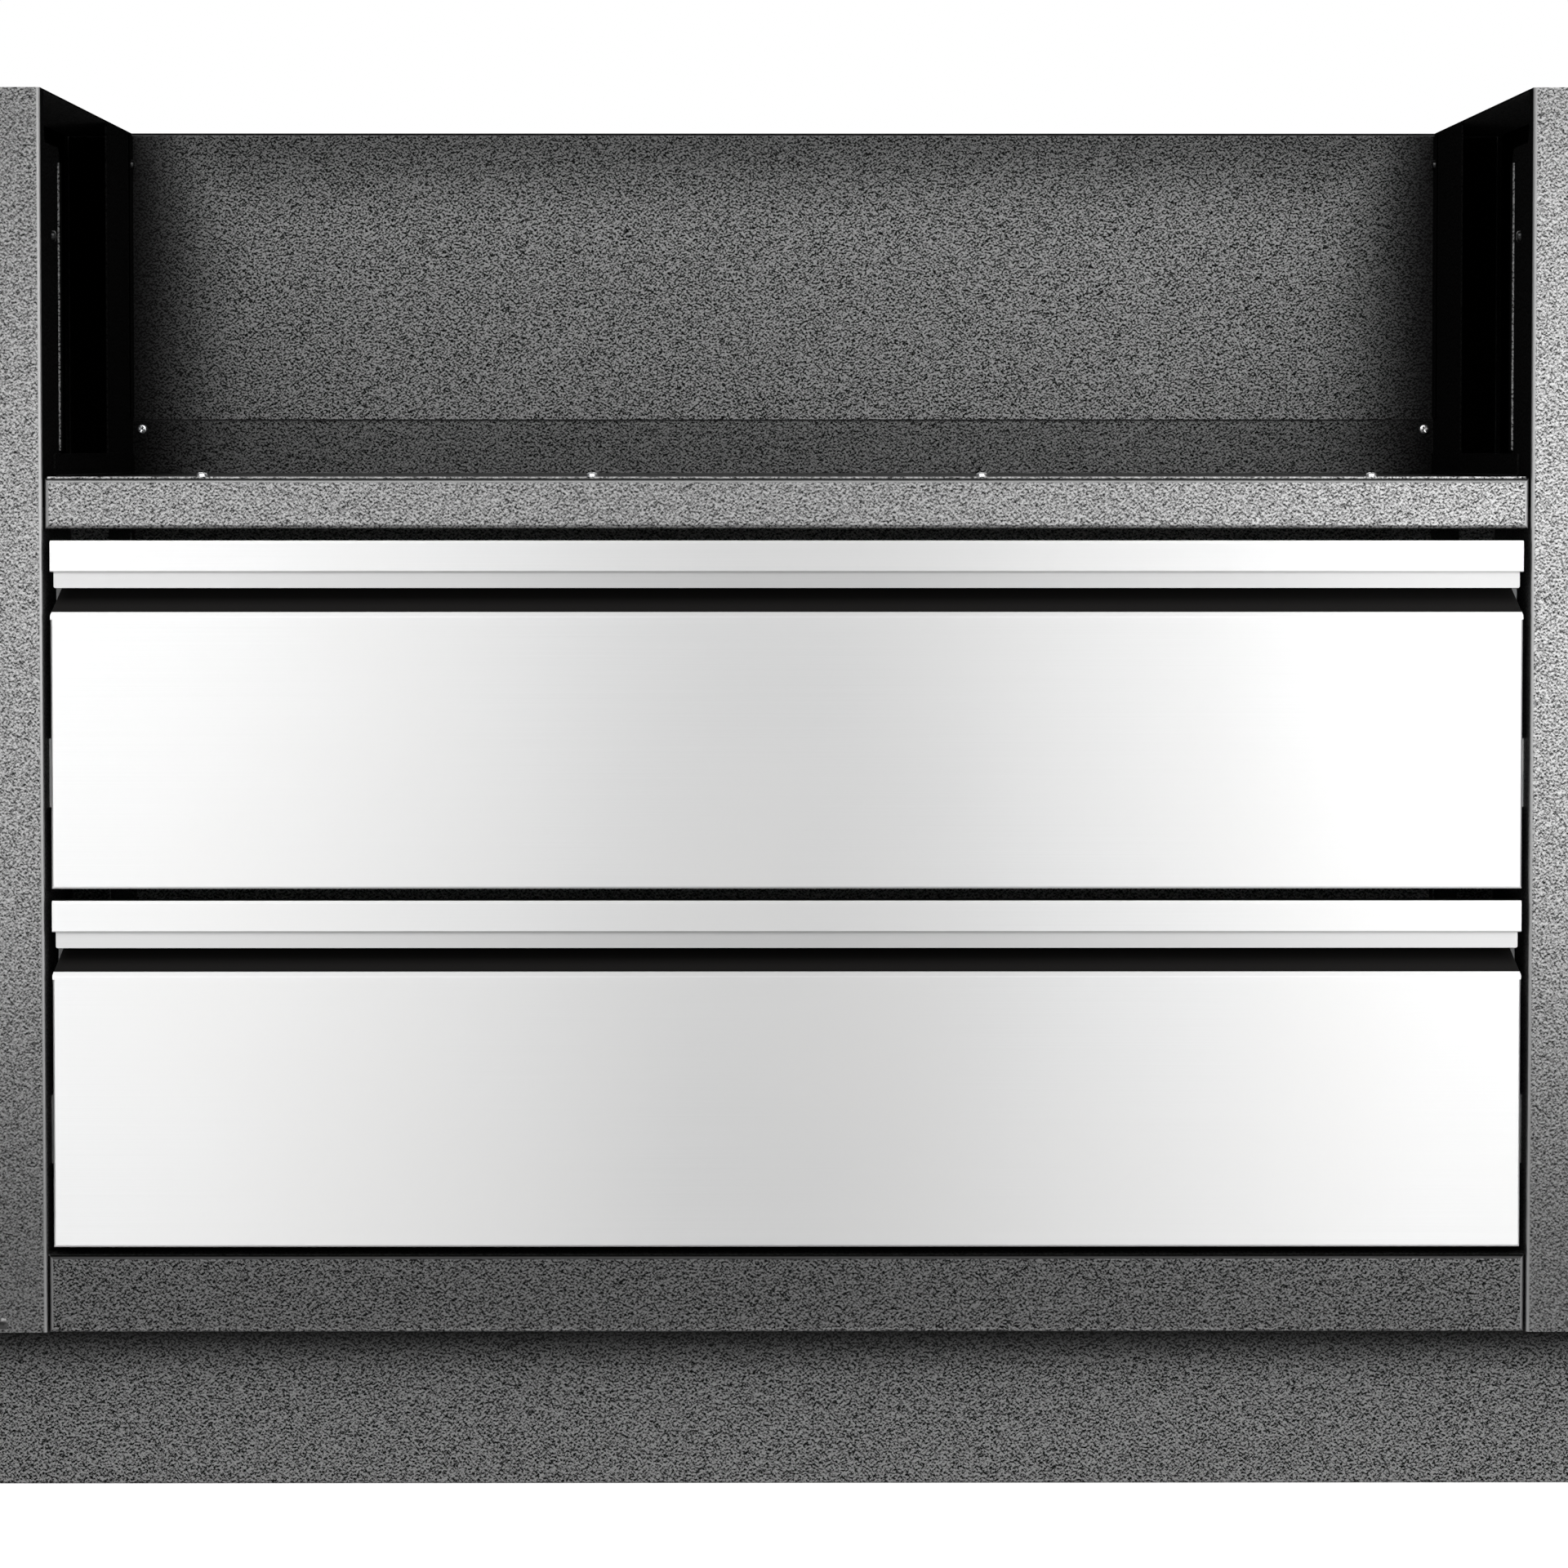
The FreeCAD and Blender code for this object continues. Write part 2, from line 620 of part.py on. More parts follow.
def drawer_front(drawer, level):
    """Stainless front folded from one sheet: panel, scoop, channel, lip and joggled lower band."""
    body = new_body(f"{drawer}_drawer_front", ("0", FRONT, level))
    lip_foot = "(front_height - lip_height)"
    band_foot = "(front_height - lip_height - band_height)"
    scoop_top = "(panel_height + front_depth - front_gauge)"
    inside = "front_depth - front_gauge"
    band_back = "joggle + front_gauge"
    section = [
        ("front_depth", "0"),
        ("0", "0"),
        ("0", "panel_height"),
        (inside, scoop_top),
        (inside, "front_height - front_gauge"),
        ("front_gauge", "front_height - front_gauge"),
        ("front_gauge", f"{lip_foot} + {FOLD} * front_gauge"),
        (band_back, f"{lip_foot} - joggle + {FOLD} * front_gauge"),
        (band_back, band_foot),
        ("joggle", band_foot),
        ("joggle", f"{lip_foot} - joggle"),
        ("0", lip_foot),
        ("0", "front_height"),
        ("front_depth", "front_height"),
        ("front_depth", f"{scoop_top} - {FOLD} * front_gauge"),
        ("front_gauge", f"panel_height - {FOLD} * front_gauge"),
        ("front_gauge", "front_gauge"),
        ("front_depth", "front_gauge"),
    ]
    pad(body, outline(body, "YZ_Plane", section), f"2 * {FRONT_HALF}", centred=True)

    # The scoop and the channel behind the lip are trimmed back towards their ends
    scoop_rise = "(front_height - front_gauge - panel_height)"
    for sign in ("", "-"):
        trim = [
            (f"{sign}{FRONT_HALF}", "front_gauge"),
            (f"{sign}({FRONT_HALF} + 1)", "front_gauge"),
            (f"{sign}({FRONT_HALF} + 1)", "front_depth + 1"),
            (f"{sign}({FRONT_HALF} - scoop_trim)", "front_depth + 1"),
        ]
        pocket(body, outline(body, "XY_Plane", trim, "panel_height"), scoop_rise, reverse=True)

    # The lower band stops short of the lip's ends and has its corners cropped
    for sign in ("", "-"):
        inner = f"{sign}({FRONT_HALF} - band_inset)"
        outer = f"{sign}({FRONT_HALF} + 1)"
        end = [
            (inner, f"{band_foot} + band_corner"),
            (f"{sign}({FRONT_HALF} - band_inset - band_corner - 1)", f"{band_foot} - 1"),
            (outer, f"{band_foot} - 1"),
            (outer, f"{lip_foot} - joggle / 2"),
            (inner, f"{lip_foot} - joggle / 2"),
        ]
        pocket(body, outline(body, "XZ_Plane", end, "1"), "4 * front_gauge + 1")

    # Side returns, turned inwards once more where the inner front is fixed
    side = [section[16], section[17], ("front_depth", "panel_height"), section[15]]
    flange_top = "panel_height - side_flange_clear"
    for sign, rise in (("", f"{FRONT_HALF} - front_gauge"), ("-", f"-{FRONT_HALF}")):
        pad(body, outline(body, "YZ_Plane", side, rise), "front_gauge")
        inner = f"{sign}({FRONT_HALF} - side_flange)"
        flange = rectangle(inner, "front_gauge", f"{sign}{FRONT_HALF}", flange_top)
        pad(body, outline(body, "XZ_Plane", flange, f"-({inside})"), "front_gauge", reverse=True)

    fillet(body, "front_bend", along("X", section[1], section[2], section[12], section[13]))
    for sign in ("", "-"):
        edge = rounded_edge(body, sign, FRONT_HALF, "end_bend")
        pocket(body, edge, "panel_height - front_bend", reverse=True)
    return keep(body)


def drawer_box(drawer, level):
    """Painted inner front, tray folded from one sheet, and back wall."""
    front = new_body(f"{drawer}_drawer_inner_front", ("0", FRONT, level))
    plate = "(front_depth + gauge)"
    flange = "front_depth + inner_front_flange"
    section = [
        ("front_depth", "inner_front_low"),
        (plate, "inner_front_low"),
        (plate, "inner_front_top - gauge"),
        (flange, "inner_front_top - gauge"),
        (flange, "inner_front_top"),
        ("front_depth", "inner_front_top"),
    ]
    width = f"2 * ({FRONT_HALF} - inner_front_inset)"
    pad(front, outline(front, "YZ_Plane", section), width, centred=True)
    keep(front)

    tray = new_body(f"{drawer}_drawer_tray", ("0", f"{FRONT} + {BOX_START}", f"{level} + box_lift"))
    right = [
        (BOX_HALF, "0"),
        (BOX_HALF, "box_wall"),
        (f"{BOX_HALF} - box_lip", "box_wall"),
        (f"{BOX_HALF} - box_lip", "box_wall - gauge"),
        (f"{BOX_HALF} - gauge", "box_wall - gauge"),
        (f"{BOX_HALF} - gauge", "gauge"),
    ]
    left = [(f"-({across})", up) for across, up in reversed(right)]
    pad(tray, outline(tray, "XZ_Plane", right + left), "box_length", reverse=True)
    fillet(tray, "bend_radius", along("Y", right[0], right[1], left[4], left[5]))
    fillet(tray, BEND_INSIDE, along("Y", right[4], right[5], left[0], left[1]))
    keep(tray)

    rear = f"{FRONT} + {BOX_START} + box_length"
    back = new_body(f"{drawer}_drawer_back", ("0", rear, f"{level} + box_lift"))
    wall = [
        ("-gauge", "gauge"),
        ("0", "gauge"),
        ("0", "box_wall - gauge"),
        ("-box_lip", "box_wall - gauge"),
        ("-box_lip", "box_wall - 2 * gauge"),
        ("-gauge", "box_wall - 2 * gauge"),
    ]
    pad(back, outline(back, "YZ_Plane", wall), f"2 * ({BOX_HALF} - bend_radius)", centred=True)
    keep(back)


def write_parts():
    """Checks every object of the document, then writes each sub-part to its own file."""
    failed = [item.Label for item in DOC.Objects if {"Invalid", "Error"} & set(item.State)]
    if failed:
        raise RuntimeError(f"failed objects: {failed}")
    for node in NODES:
        if node.Shape.isNull() or not node.Shape.isValid() or not node.Shape.Solids:
            raise RuntimeError(f"{node.Label}: no valid solid")
    os.makedirs("parts", exist_ok=True)
    for node in NODES:
        node.Shape.exportStep(f"parts/{node.Label}.step")
    print(f"{len(NODES)} sub-parts written")


side_panels()
rails()
grill_deck()
backs()
floor_panel()
kick_frame()
for drawer in ("upper", "lower"):
    level = f"{drawer}_drawer_level"
    drawer_front(drawer, level)
    drawer_box(drawer, level)
    slides(drawer, level)
write_parts()
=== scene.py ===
"""Looks of the under-grill cabinet: materials, fasteners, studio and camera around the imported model."""
import json
import math

import bmesh
import bpy
from mathutils import Matrix, Vector


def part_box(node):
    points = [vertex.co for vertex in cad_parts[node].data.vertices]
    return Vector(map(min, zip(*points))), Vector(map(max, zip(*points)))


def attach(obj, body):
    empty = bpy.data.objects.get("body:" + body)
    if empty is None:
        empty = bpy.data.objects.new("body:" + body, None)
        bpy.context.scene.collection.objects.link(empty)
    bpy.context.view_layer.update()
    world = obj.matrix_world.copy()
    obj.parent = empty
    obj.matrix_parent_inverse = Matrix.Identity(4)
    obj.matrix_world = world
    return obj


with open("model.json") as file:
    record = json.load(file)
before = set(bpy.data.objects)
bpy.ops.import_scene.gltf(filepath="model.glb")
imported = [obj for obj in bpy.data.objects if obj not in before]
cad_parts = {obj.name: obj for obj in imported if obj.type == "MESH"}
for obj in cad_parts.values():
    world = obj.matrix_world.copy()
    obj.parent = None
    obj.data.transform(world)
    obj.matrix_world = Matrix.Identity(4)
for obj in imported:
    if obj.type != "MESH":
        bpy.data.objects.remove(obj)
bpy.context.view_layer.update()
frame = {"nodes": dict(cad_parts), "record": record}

NODES = frame["nodes"]
SLOT_OF = {part["node"]: part["material_slot"] for part in frame["record"]["subparts"]}
MM = 0.001
GAUGE = 1.2 * MM

# Planes of the carcass, which place the fasteners and bound the zones of the paint
POST_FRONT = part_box("left_side_panel")[0].y
POST_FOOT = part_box("left_side_panel")[0].z
POST_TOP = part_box("left_side_panel")[1].z
POST_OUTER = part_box("right_side_panel")[1].x
RETURN_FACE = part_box("grill_deck")[1].x
DECK_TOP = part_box("header_rail")[1].z + GAUGE
DECK_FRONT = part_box("grill_deck")[0].y
DECK_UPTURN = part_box("grill_deck")[1].y - GAUGE
DECK_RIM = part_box("grill_deck")[1].z
BACK_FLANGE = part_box("upper_back_panel")[0].y
BACK_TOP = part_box("upper_back_panel")[1].z
KICK_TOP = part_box("front_kick_panel")[1].z
LAP_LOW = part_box("upper_back_panel")[0].z
LAP_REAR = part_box("lower_back_panel")[1].y
# The lower back laps behind the upper one, so this is the middle of the upper back's sheet
BACK_MIDDLE = LAP_REAR - 1.5 * GAUGE


# Node graphs

# A Mix node has several sockets of each name: these are its share and its colours
MIX_SHARE = 0
MIX_FIRST = 6
MIX_SECOND = 7
MIX_COLOUR = 2
# Turn of a noise's coordinates about the three axes, in radians
OFF_AXIS = (0.4, 0.7, 0.2)
# Range that most of a noise's values lie in
NOISE_SPAN = (0.3, 0.7)


def feed(tree, node, inputs):
    """Sets a node's inputs, by name or number, to values or to other nodes' outputs."""
    for name, value in inputs.items():
        if isinstance(value, bpy.types.NodeSocket):
            tree.links.new(value, node.inputs[name])
        else:
            node.inputs[name].default_value = value


def add(tree, kind, inputs=None, **settings):
    """A node with its settings and inputs."""
    node = tree.nodes.new(kind)
    for name, value in settings.items():
        setattr(node, name, value)
    feed(tree, node, inputs or {})
    return node


def new_material(name):
    """An empty material: its tree, its shader and coordinates in metres that stay with the piece."""
    material = bpy.data.materials.new(name)
    material.use_nodes = True
    tree = material.node_tree
    tree.nodes.clear()
    shader = add(tree, "ShaderNodeBsdfPrincipled")
    add(tree, "ShaderNodeOutputMaterial", {"Surface": shader.outputs["BSDF"]})
    place = add(tree, "ShaderNodeTexCoord").outputs["Object"]
    return material, tree, shader, place


def axes(tree, vector):
    """The X, Y and Z of a vector."""
    return add(tree, "ShaderNodeSeparateXYZ", {"Vector": vector}).outputs


def facing(tree):
    """The X, Y and Z of the way a surface faces, before any bump."""
    return axes(tree, add(tree, "ShaderNodeTexCoord").outputs["Normal"])


def stretched(tree, place, scale):
    """Coordinates scaled differently along each axis."""
    return add(tree, "ShaderNodeMapping", {"Vector": place, "Scale": scale}).outputs["Vector"]


def turned(tree, place):
    """Coordinates turned off the axes, so that no flat face lies along a noise's own lattice."""
    return add(tree, "ShaderNodeMapping", {"Vector": place, "Rotation": OFF_AXIS}).outputs["Vector"]


def noise(tree, place, scale, detail=2.0, roughness=0.5):
    """Soft noise between 0 and 1."""
    inputs = {"Vector": place, "Scale": scale, "Detail": detail, "Roughness": roughness}
    return add(tree, "ShaderNodeTexNoise", inputs).outputs["Fac"]


def remap(tree, value, low, high, start=0.0, end=1.0):
    """A smooth ramp of a value from one range to another."""
    inputs = {"Value": value, "From Min": low, "From Max": high, "To Min": start, "To Max": end}
    return add(tree, "ShaderNodeMapRange", inputs, interpolation_type="SMOOTHSTEP").outputs["Result"]


def blend(tree, share, first, second):
    """A colour between two others."""
    inputs = {MIX_SHARE: share, MIX_FIRST: first, MIX_SECOND: second}
    return add(tree, "ShaderNodeMix", inputs, data_type="RGBA").outputs[MIX_COLOUR]


def arithmetic(tree, operation, first, second=0.0):
    """The result of one sum; operations on a single value leave the second out."""
    return add(tree, "ShaderNodeMath", {0: first, 1: second}, operation=operation).outputs["Value"]


def product(tree, value, *factors):
    """A value multiplied by one or more factors."""
    for factor in factors:
        value = arithmetic(tree, "MULTIPLY", value, factor)
    return value


def bumped(tree, height, depth, strength):
    """The way a surface faces with fine relief on it."""
    inputs = {"Strength": strength, "Distance": depth, "Height": height}
    return add(tree, "ShaderNodeBump", inputs).outputs["Normal"]


def grey(level, warmth=0.0):
    """A near-neutral linear colour."""
    return (level * (1 + warmth), level, level * (1 - warmth), 1)


# Hammered paint

PAINT_TONE = 0.22
# Painted shade: near black tone of the bay's walls and pockets
WALL_SHADE_TONE = 0.004
RELIEF_SCALE = 660
RELIEF_ROUGHNESS = 0.6
RELIEF_DEPTH = 0.07 * MM
RELIEF_MIDDLE = 0.5
RELIEF_SPREAD = 0.28
# Painted light from above on the relief: the step to a point just above, and the share of the drop to it
# that lightens the colour
SLOPE_STEP = 0.9 * MM
LIGHT_FROM_ABOVE_SHARE = 0.4
PAINT_ROUGHNESS = (0.44, 0.37)
PAINT_TINT = 0.4
CREST_TINT = 0.05

# Shares of a paint's tone
# Painted shade in the relief's folds and painted light on its crowns
FOLD_SHADE_SHARE = 0.02
CROWN_LIGHT_SHARE = 1.98
# Painted highlight on upright bends
BEND_HIGHLIGHT_SHARE = 1.9
# Darkest tone of the painted shade at the bay's edges
BAY_SHADE_SHARE = 0.05
# Painted shadow under the rail
RAIL_SHADOW_SHARE = 0.08

# Ranges of one component of the surface's direction over which a zone fades in
UPRIGHT_BEND = (0.12, 0.4)
UPPER_BEND = (0.05, 0.3)
SIDE_FACE = (0.9, 0.98)
FRONT_FACE = (-0.5, -0.9)
REAR_FACE = (0.3, 0.7)

# Reach of the zones, among them the bay's painted shade and the painted shadow under the rail
BAY_DROP = 20 * MM
BAY_EDGE = 90 * MM
BACK_SHADE_FADE = 75 * MM
RIM_SHADE_FADE = 3 * MM
# Reach of the painted shadow under the rail
RAIL_SHADOW_REACH = 40 * MM

# How far the painted shade at the edges of the bay's sheets goes towards dark
BAY_END_SHADE = 0.95
BACK_TOP_SHADE = 0.57
RIM_SHADE = 0.95


def zones(tree, place):
    """Masks of the upright bends, the bends that face up, the bay's painted shade and the rear faces.

    The painted shade is near black, on the bay's side faces and on what faces the front in the pockets
    beside the back.
    """
    normal = facing(tree)
    side = arithmetic(tree, "ABSOLUTE", normal["X"])
    front = arithmetic(tree, "ABSOLUTE", normal["Y"])
    upright = remap(tree, arithmetic(tree, "MINIMUM", side, front), *UPRIGHT_BEND)
    upper = remap(tree, arithmetic(tree, "MINIMUM", normal["Z"], front), *UPPER_BEND)
    rear = remap(tree, normal["Y"], *REAR_FACE)
    spot = axes(tree, place)
    across = arithmetic(tree, "ABSOLUTE", spot["X"])
    inside = arithmetic(tree, "LESS_THAN", across, POST_OUTER - GAUGE / 2)
    above = arithmetic(tree, "GREATER_THAN", spot["Z"], DECK_TOP - BAY_DROP)
    before_back = arithmetic(tree, "LESS_THAN", spot["Y"], BACK_MIDDLE)
    wall = product(tree, remap(tree, side, *SIDE_FACE), before_back)
    beside_back = arithmetic(tree, "GREATER_THAN", across, RETURN_FACE - GAUGE / 4)
    rear_half = arithmetic(tree, "GREATER_THAN", spot["Y"], 0.0)
    pocket = product(tree, remap(tree, normal["Y"], *FRONT_FACE), beside_back, rear_half)
    wall_shade = product(tree, arithmetic(tree, "MAXIMUM", wall, pocket), inside, above)
    return upright, upper, wall_shade, rear


def relief_colour(tree, lit, tone, contrast=1.0):
    """Colour of the hammered relief: painted shade in its folds and painted light on its crowns."""
    spread = RELIEF_SPREAD / contrast
    shade = remap(tree, lit, RELIEF_MIDDLE - spread, RELIEF_MIDDLE + spread)
    return blend(tree, shade, grey(tone * FOLD_SHADE_SHARE), grey(tone * CROWN_LIGHT_SHARE))


def bay_shade_masks(tree, place, front, top, fade, share):
    """Masks of a sheet in the bay: painted shade towards its upper edge and its two ends, and its front
    edge.
    """
    spot = axes(tree, place)
    across = arithmetic(tree, "ABSOLUTE", spot["X"])
    ends = remap(tree, across, RETURN_FACE - BAY_EDGE, RETURN_FACE, 0.0, BAY_END_SHADE)
    upper = remap(tree, spot["Z"], top - fade, top, 0.0, share)
    edge = arithmetic(tree, "LESS_THAN", spot["Y"], front + GAUGE / 4)
    return arithmetic(tree, "MAXIMUM", ends, upper), edge


def hammered_paint(name, tone, contrast=1.0, upper_bend_shade=0.1, edge_tone=0.0, rail_shadow=False, bay=None):
    """Dark metallic powder-coated finish with hammered relief, a painted highlight on upright bends and
    painted shade on upper ones.

    A sheet in the bay has painted shade towards its top and its ends and a tone of its own on its front
    edge.
    A sheet under the rail gets painted shadow towards its top.
    """
    material, tree, shader, place = new_material(name)
    # The relief's colour is painted as if lit from above: lighter where it falls towards a point just
    # above, darker where it rises
    above = add(tree, "ShaderNodeVectorMath", {0: place, 1: (0, 0, SLOPE_STEP)}).outputs["Vector"]
    relief, higher = (
        noise(tree, turned(tree, spot), RELIEF_SCALE, roughness=RELIEF_ROUGHNESS) for spot in (place, above)
    )
    slope = arithmetic(tree, "SUBTRACT", relief, higher)
    lit = arithmetic(tree, "ADD", relief, product(tree, slope, LIGHT_FROM_ABOVE_SHARE))
    upright, upper, wall_shade, rear = zones(tree, place)
    colour = relief_colour(tree, lit, tone, contrast)
    if bay:
        dark, edge = bay_shade_masks(tree, place, **bay)
        # Painted shade towards the top and the ends of a sheet in the bay
        colour = blend(tree, dark, colour, grey(tone * BAY_SHADE_SHARE))
        colour = blend(tree, edge, colour, relief_colour(tree, lit, edge_tone))
    # Rear faces keep the plain tone, without the painted shade of the darker copies
    colour = blend(tree, rear, colour, relief_colour(tree, lit, PAINT_TONE))
    # Painted highlight on the upright bends and painted shade on the bends that face up
    colour = blend(tree, upright, colour, grey(tone * BEND_HIGHLIGHT_SHARE))
    colour = blend(tree, upper, colour, grey(tone * upper_bend_shade))
    # Painted shade: the bay's walls and pockets painted near black and not metallic
    colour = blend(tree, wall_shade, colour, relief_colour(tree, lit, WALL_SHADE_TONE))
    # Painted shadow under the bottom rail, on the top of the kick panels
    if rail_shadow:
        shade = remap(tree, axes(tree, place)["Z"], KICK_TOP - RAIL_SHADOW_REACH, KICK_TOP)
        colour = blend(tree, shade, colour, grey(tone * RAIL_SHADOW_SHARE))
    feed(tree, shader, {
        "Base Color": colour,
        "Metallic": arithmetic(tree, "SUBTRACT", 1.0, wall_shade),
        "Roughness": remap(tree, relief, *NOISE_SPAN, *PAINT_ROUGHNESS),
        "Specular IOR Level": 0.0,
        "Specular Tint": blend(tree, upper, grey(PAINT_TINT), grey(CREST_TINT)),
        "Normal": bumped(tree, relief, RELIEF_DEPTH, 1.0),
    })
    return material


# Stainless fronts

# Painted shade behind the front: its depths, near black colour and roughness, and the specular level of the
# whole front
FOLD_SHADE_DEPTHS = (POST_FRONT + 2.6 * MM, POST_FRONT + 3.2 * MM)
FOLD_SHADE_COLOUR = grey(0.005, 0.05)
FOLD_SHADE_ROUGHNESS = 0.5
FOLD_SHADE_SPECULAR = 0.05
BARE_ENDS = (0.995, 0.97)
# Painted shade where the front steps back: its depths and colours
SET_BACK_DEPTHS = (POST_FRONT + 0.05 * MM, POST_FRONT + 0.5 * MM)
SET_BACK_SHADE_COLOURS = (grey(0.61), grey(0.66))
STEEL_COLOURS = (grey(0.77, -0.002), grey(0.83, -0.002))
STEEL_ROUGHNESS = (0.56, 0.60)
GRAIN_STRETCH = (5, 1500, 3800)
GRAIN_ROUGHNESS = 0.6
GRAIN_DEPTH = 0.1 * MM
GRAIN_STRENGTH = 0.05
HAZE_SCALE = 5
HAZE_SPAN = (0.35, 0.7)
HAZE_COLOUR = grey(0.79, 0.002)


def stainless_front():
    """Satin stainless sheet with fine grain along X, with painted shade where it steps back.

    What folds in behind the front is painted near black as painted shade, apart from the outer ends, which
    are bare.
    """
    material, tree, shader, place = new_material("stainless_front")
    spot = axes(tree, place)
    outward = product(tree, facing(tree)["X"], arithmetic(tree, "SIGN", spot["X"]))
    # Painted shade: near black and not metallic behind the front, bare steel on the outer ends
    fold_shade = product(tree, remap(tree, spot["Y"], *FOLD_SHADE_DEPTHS), remap(tree, outward, *BARE_ENDS))
    grain = noise(tree, stretched(tree, place, GRAIN_STRETCH), 1.0, roughness=GRAIN_ROUGHNESS)
    haze = noise(tree, place, HAZE_SCALE)
    steel = blend(tree, grain, *STEEL_COLOURS)
    steel = blend(tree, remap(tree, haze, *HAZE_SPAN), steel, HAZE_COLOUR)
    # Painted shade on the band and the bend that step back behind the front
    set_back_shade = remap(tree, spot["Y"], *SET_BACK_DEPTHS)
    steel = blend(tree, set_back_shade, steel, blend(tree, grain, *SET_BACK_SHADE_COLOURS))
    satin = remap(tree, haze, *NOISE_SPAN, *STEEL_ROUGHNESS)
    tangent = add(tree, "ShaderNodeTangent", direction_type="RADIAL", axis="X")
    feed(tree, shader, {
        "Base Color": blend(tree, fold_shade, steel, FOLD_SHADE_COLOUR),
        "Metallic": arithmetic(tree, "SUBTRACT", 1.0, fold_shade),
        "Roughness": arithmetic(tree, "MAXIMUM", satin, product(tree, fold_shade, FOLD_SHADE_ROUGHNESS)),
        "Specular IOR Level": FOLD_SHADE_SPECULAR,
        "Anisotropic": 1.0,
        "Tangent": tangent.outputs["Tangent"],
        "Normal": bumped(tree, grain, GRAIN_DEPTH, GRAIN_STRENGTH),
    })
    return material


# Drawer box paint

BOX_COLOURS = (grey(0.215, -0.01), grey(0.235, -0.01))
BOX_ROUGHNESS = (0.44, 0.50)
BOX_METALLIC = 0.25
PEEL_SCALE = 520
PEEL_DEPTH = 0.3 * MM
PEEL_STRENGTH = 0.35
RUB_STRETCH = (26, 40, 26)
RUB_DETAIL = 4.0
RUB_ROUGHNESS = 0.6
RUB_SPAN = (0.3, 0.75)


def drawer_box_paint():
    """Satin grey paint on the drawer boxes, with fine orange peel and rubbed patches."""
    material, tree, shader, place = new_material("drawer_box_paint")
    peel = noise(tree, place, PEEL_SCALE)
    rub = noise(tree, stretched(tree, place, RUB_STRETCH), 1.0, RUB_DETAIL, RUB_ROUGHNESS)
    feed(tree, shader, {
        "Base Color": blend(tree, remap(tree, rub, *RUB_SPAN), *BOX_COLOURS),
        "Metallic": BOX_METALLIC,
        "Roughness": remap(tree, rub, *NOISE_SPAN, *BOX_ROUGHNESS),
        "Normal": bumped(tree, peel, PEEL_DEPTH, PEEL_STRENGTH),
    })
    return material


# Plating

PLATING_ROUGHNESS = (0.30, 0.37)
PLATING_COOL = -0.02
PLATING_WARM = 0.01
MOTTLE_SCALE = 60
MOTTLE_DETAIL = 3.0
MOTTLE_ROUGHNESS = 0.6
MOTTLE_SPAN = (0.35, 0.65)
MARK_STRETCH = (700, 14, 700)
MARK_DEPTH = 0.1 * MM
MARK_STRENGTH = 0.05


def plating(name, low, high):
    """Plated steel: soft mottling between two tones, cooler where darker, and rolling marks along Y."""
    material, tree, shader, place = new_material(name)
    mottle = noise(tree, place, MOTTLE_SCALE, MOTTLE_DETAIL, MOTTLE_ROUGHNESS)
    marks = noise(tree, stretched(tree, place, MARK_STRETCH), 1.0)
    tones = (grey(low, PLATING_COOL), grey(high, PLATING_WARM))
    feed(tree, shader, {
        "Base Color": blend(tree, remap(tree, mottle, *MOTTLE_SPAN), *tones),
        "Metallic": 1.0,
        "Roughness": remap(tree, marks, *NOISE_SPAN, *PLATING_ROUGHNESS),
        "Normal": bumped(tree, marks, MARK_DEPTH, MARK_STRENGTH),
    })
    return material


# Materials of the nodes: one for each slot, and lit and shaded copies of the hammered paint for some of the
# painted sheets, with painted light and shade

MATERIALS = {
    "hammered_paint": hammered_paint("hammered_paint", PAINT_TONE),
    "stainless_front": stainless_front(),
    "drawer_box_paint": drawer_box_paint(),
    "zinc_slide": plating("zinc_slide", low=0.46, high=0.60),
}
# Kick panels: painted shadow under the rail, and a coarser relief
BASE_SHADED_PAINT = hammered_paint("base_shaded_paint", tone=0.225, contrast=1.7, rail_shadow=True)
SHADED_PAINTS = {
    # Back: a darker tone as painted shade
    "upper_back_panel": hammered_paint(
        "bay_back_shaded_paint", tone=0.137, contrast=2.3,
        bay={"front": BACK_FLANGE, "top": BACK_TOP, "fade": BACK_SHADE_FADE, "share": BACK_TOP_SHADE},
    ),
    # Deck: a darker tone as painted shade, with the plain tone on its front edge
    "grill_deck": hammered_paint(
        "bay_deck_shaded_paint", tone=0.085, contrast=1.6, edge_tone=PAINT_TONE,
        # Painted shadow line along the top of the deck's upturn, and painted shade at its ends
        bay={"front": DECK_FRONT, "top": DECK_RIM, "fade": RIM_SHADE_FADE, "share": RIM_SHADE},
    ),
    # Header: less painted shade on its upper bends
    "header_rail": hammered_paint("header_shaded_paint", tone=PAINT_TONE, upper_bend_shade=0.45),
    # Bottom rail: a darker tone as painted shade
    "bottom_rail": hammered_paint("rail_shaded_paint", tone=0.185, contrast=1.6),
    "front_kick_panel": BASE_SHADED_PAINT,
    "rear_kick_panel": BASE_SHADED_PAINT,
    "left_kick_panel": BASE_SHADED_PAINT,
    "right_kick_panel": BASE_SHADED_PAINT,
}

for name, node in NODES.items():
    node.data.materials.clear()
    node.data.materials.append(SHADED_PAINTS.get(name, MATERIALS[SLOT_OF[name]]))


# Fasteners

